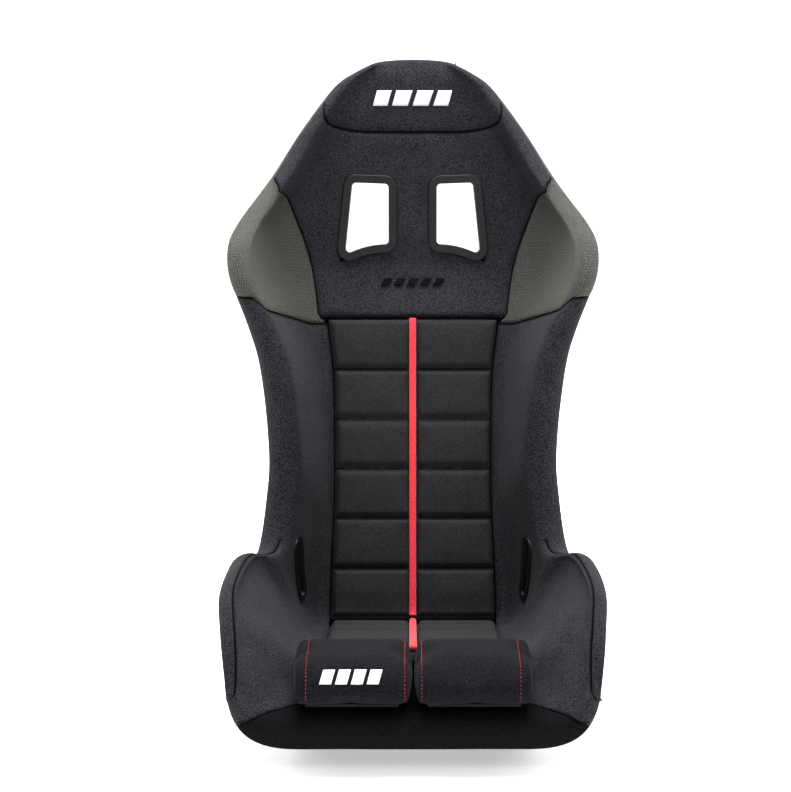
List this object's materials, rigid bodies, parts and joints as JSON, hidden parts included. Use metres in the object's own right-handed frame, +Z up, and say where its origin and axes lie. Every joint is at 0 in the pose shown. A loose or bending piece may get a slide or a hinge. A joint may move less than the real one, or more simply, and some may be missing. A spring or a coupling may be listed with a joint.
{
  "type": "racing seat",
  "caption": "Fixed-back bucket seat with hip and shoulder wings, slots for a harness, quilted cushions and lift-off thigh pads.",
  "frame": {"origin": "on the floor plane that the seat rests on, under the middle of its bounding box", "axes": "+Z up, the seat faces -Y, +X is the driver's left"},
  "size_m": [0.51, 0.6046, 0.888],
  "materials": {
    "shell": "satin",
    "boss_metal": "satin",
    "bezel_plastic": "matte",
    "foam": "matte",
    "tape": "matte",
    "piping": "matte",
    "badge": "matte",
    "grip_fabric": "matte",
    "quilt_fabric": "matte",
    "pad_fabric": "matte",
    "cover_fabric": "matte"
  },
  "bodies": {
    "root": {"back_base_foam": "foam", "back_cushion_core": "foam", "back_cushion_piping": "piping", "back_cushion_quilt": "quilt_fabric", "back_cushion_tape": "tape", "crotch_bezel": "bezel_plastic", "front_panel": "cover_fabric", "head_badge": "badge", "head_cap": "cover_fabric", "head_cover": "cover_fabric", "head_roll_left": "cover_fabric", "head_roll_right": "cover_fabric", "hip_cover_left": "cover_fabric", "hip_cover_right": "cover_fabric", "hip_foam_left": "foam", "hip_foam_right": "foam", "hip_roll_left": "cover_fabric", "hip_roll_right": "cover_fabric", "lap_bezel_left": "bezel_plastic", "lap_bezel_right": "bezel_plastic", "seat_base_foam": "foam", "seat_front_cover": "cover_fabric", "seat_front_foam": "foam", "shell": "shell", "shoulder_patch_left": "grip_fabric", "shoulder_patch_right": "grip_fabric", "shoulder_roll_left": "grip_fabric", "shoulder_roll_right": "grip_fabric", "side_bosses_left": "boss_metal", "side_bosses_right": "boss_metal", "side_cover_left": "cover_fabric", "side_cover_right": "cover_fabric", "side_foam_left": "foam", "side_foam_right": "foam", "side_roll_left": "cover_fabric", "side_roll_right": "cover_fabric", "strap_bezel_left": "bezel_plastic", "strap_bezel_right": "bezel_plastic", "strap_ring_left": "bezel_plastic", "strap_ring_right": "bezel_plastic", "upper_back_cover": "cover_fabric", "upper_back_foam": "foam"},
    "seat_cushion": {"seat_cushion_core": "foam", "seat_cushion_piping": "piping", "seat_cushion_quilt": "quilt_fabric", "seat_cushion_tape": "tape"},
    "thigh_pad_left": {"thigh_pad_core_left": "foam", "thigh_pad_cover_left": "pad_fabric", "thigh_pad_tape_left": "tape"},
    "thigh_pad_right": {"thigh_pad_core_right": "foam", "thigh_pad_cover_right": "pad_fabric", "thigh_pad_tape_right": "tape"}
  },
  "joints": [
    {"name": "seat_cushion_lift", "type": "slide", "parent": "root", "child": "seat_cushion", "axis": [0, 0, 1], "range_m": [0, 0.08]},
    {"name": "thigh_pad_left_lift", "type": "slide", "parent": "root", "child": "thigh_pad_left", "axis": [0, 0, 1], "range_m": [0, 0.08]},
    {"name": "thigh_pad_right_lift", "type": "slide", "parent": "root", "child": "thigh_pad_right", "axis": [0, 0, 1], "range_m": [0, 0.08]}
  ]
}
